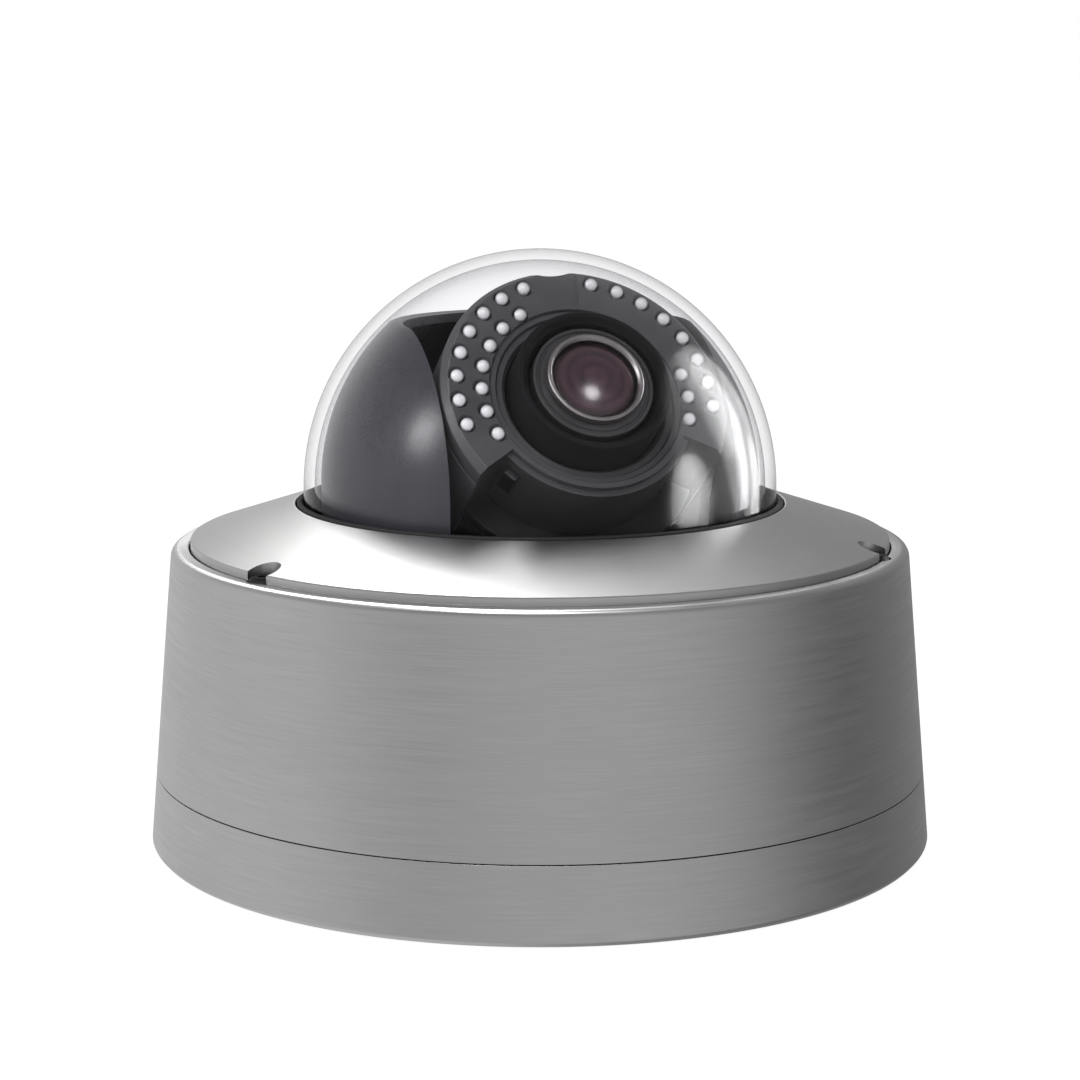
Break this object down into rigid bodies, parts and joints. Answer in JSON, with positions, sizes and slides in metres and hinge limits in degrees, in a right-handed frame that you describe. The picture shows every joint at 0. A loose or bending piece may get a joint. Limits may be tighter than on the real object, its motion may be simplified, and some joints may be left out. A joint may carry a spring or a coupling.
{
  "type": "dome cctv camera",
  "caption": "Vandal-resistant dome camera: stainless housing, lift-off cover with a clear bubble, and a pan, tilt and roll turret with infra-red lamps and a varifocal lens.",
  "frame": {"origin": "centre of the round mounting face, at the bottom of the base", "axes": "+Z out of the mounting face through the top of the bubble; -Y is the front that the picture looks at; the conduit plug is at +Y"},
  "size_m": [0.178, 0.178, 0.1338],
  "materials": {
    "stainless": "brushed, satin",
    "screw_steel": "dark passivated",
    "zinc_steel": "zinc plated",
    "black_rubber": "matt moulded",
    "black_plastic": "fine spark texture",
    "gloss_black": "semi-gloss moulded",
    "board_green": "solder resist",
    "board_black": "black solder resist with clear lamps",
    "lens_metal": "satin anodised",
    "lens_glass": "purple-brown coated",
    "clear_dome": "clear polycarbonate",
    "terminal_green": "moulded",
    "button_white": "moulded"
  },
  "bodies": {
    "housing": {"mounting_base": "stainless", "base_gasket": "black_rubber", "housing_body": "stainless", "base_screw_1": "screw_steel", "base_screw_2": "screw_steel", "base_screw_3": "screw_steel", "cable_grommet": "black_rubber", "conduit_plug": "stainless", "chassis_plate": "black_plastic", "chassis_screw_1": "zinc_steel", "chassis_screw_2": "zinc_steel", "chassis_screw_3": "zinc_steel", "pan_ring": "black_plastic", "main_board": "board_green", "power_board": "board_green", "network_socket": "zinc_steel", "terminal_block": "terminal_green", "card_slot": "zinc_steel", "reset_switch": "zinc_steel"},
    "cover": {"dome_cover": "stainless", "bubble": "clear_dome", "bubble_gasket": "black_rubber", "bubble_retainer": "black_plastic", "retainer_screw_1": "zinc_steel", "retainer_screw_2": "zinc_steel", "retainer_screw_3": "zinc_steel", "cover_gasket": "black_rubber", "cover_screw_1": "screw_steel", "cover_screw_2": "screw_steel", "cover_screw_3": "screw_steel"},
    "pan_stage": {"turntable": "black_plastic", "pan_retaining_ring": "zinc_steel", "pan_yoke": "zinc_steel", "yoke_screw_1": "zinc_steel", "yoke_screw_2": "zinc_steel", "cheek_left": "gloss_black", "cheek_right": "gloss_black"},
    "tilt_stage": {"tilt_ring": "black_plastic", "tilt_pivot_pin": "zinc_steel", "tilt_lock_screw": "zinc_steel", "roll_lock_screw": "zinc_steel"},
    "turret": {"turret_core": "black_plastic", "roll_retainer": "black_plastic", "rear_cover": "black_plastic", "turret_front": "black_plastic", "ir_board_left": "board_black", "ir_board_right": "board_black", "lens_barrel": "black_plastic", "lens_hood": "black_rubber", "lens_bezel": "lens_metal", "front_lens": "lens_glass", "lens_mount": "black_plastic", "sensor_board": "board_green", "cable_clip": "zinc_steel"},
    "zoom": {"zoom_ring": "black_plastic"},
    "focus": {"focus_ring": "black_plastic"},
    "card": {"memory_card": "black_plastic"},
    "button": {"reset_button": "button_white"}
  },
  "joints": [
    {"name": "cover_lift", "type": "slide", "parent": "housing", "child": "cover", "axis": [0, 0, 1], "range_m": [0, 0.09]},
    {"name": "pan", "type": "hinge", "parent": "housing", "child": "pan_stage", "pos_m": [0, 0, 0.045], "axis": [0, 0, 1], "range_deg": [-175, 175]},
    {"name": "tilt", "type": "hinge", "parent": "pan_stage", "child": "tilt_stage", "pos_m": [0, 0, 0.0813], "axis": [-0.9466, -0.3223, 0], "range_deg": [-26, 38]},
    {"name": "roll", "type": "hinge", "parent": "tilt_stage", "child": "turret", "pos_m": [0, 0, 0.0813], "axis": [0.2587, -0.76, 0.5962], "range_deg": [-175, 175]},
    {"name": "zoom", "type": "hinge", "parent": "turret", "child": "zoom", "pos_m": [0, 0, 0.0813], "axis": [0.2587, -0.76, 0.5962], "range_deg": [-40, 40]},
    {"name": "focus", "type": "hinge", "parent": "turret", "child": "focus", "pos_m": [0, 0, 0.0813], "axis": [0.2587, -0.76, 0.5962], "range_deg": [-40, 40]},
    {"name": "card_slide", "type": "slide", "parent": "housing", "child": "card", "axis": [0, -1, 0], "range_m": [0, 0.014]},
    {"name": "reset_press", "type": "slide", "parent": "housing", "child": "button", "axis": [0, 0, -1], "range_m": [0, 0.0004], "stiffness_N_per_m": 1500}
  ]
}
